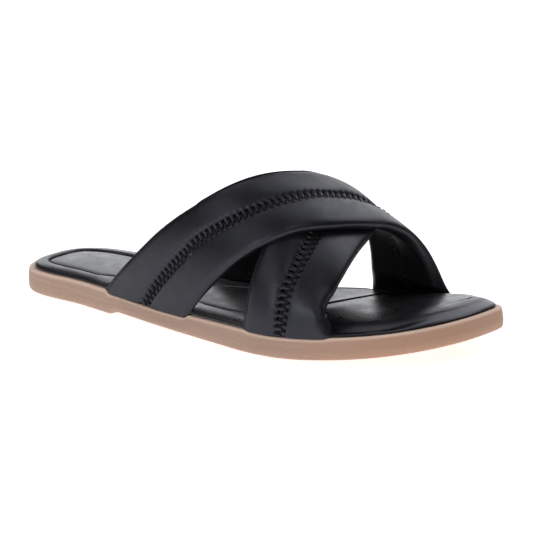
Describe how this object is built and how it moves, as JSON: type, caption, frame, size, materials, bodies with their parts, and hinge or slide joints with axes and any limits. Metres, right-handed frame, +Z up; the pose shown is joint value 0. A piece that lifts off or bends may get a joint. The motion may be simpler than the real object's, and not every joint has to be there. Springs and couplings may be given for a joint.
{
  "type": "slip_on_sandal",
  "caption": "Flat slip-on sandal for the right foot with crossed black padded leather straps, a black footbed and a tan rubber sole.",
  "frame": {"origin": "centre of the bounding box's bottom, on the floor", "axes": "+X to the toe, +Y to the inner side of the foot, +Z up"},
  "size_m": [0.255, 0.0929, 0.0767],
  "materials": {
    "tan_rubber": "matt moulded tan rubber with a light bevel",
    "footbed_leather": "smooth padded black leather with a satin gloss",
    "strap_leather": "soft padded black nappa leather with zigzag stitching"
  },
  "bodies": {
    "root": {"outsole": "tan_rubber", "insole": "footbed_leather", "upper": "strap_leather"}
  },
  "joints": []
}
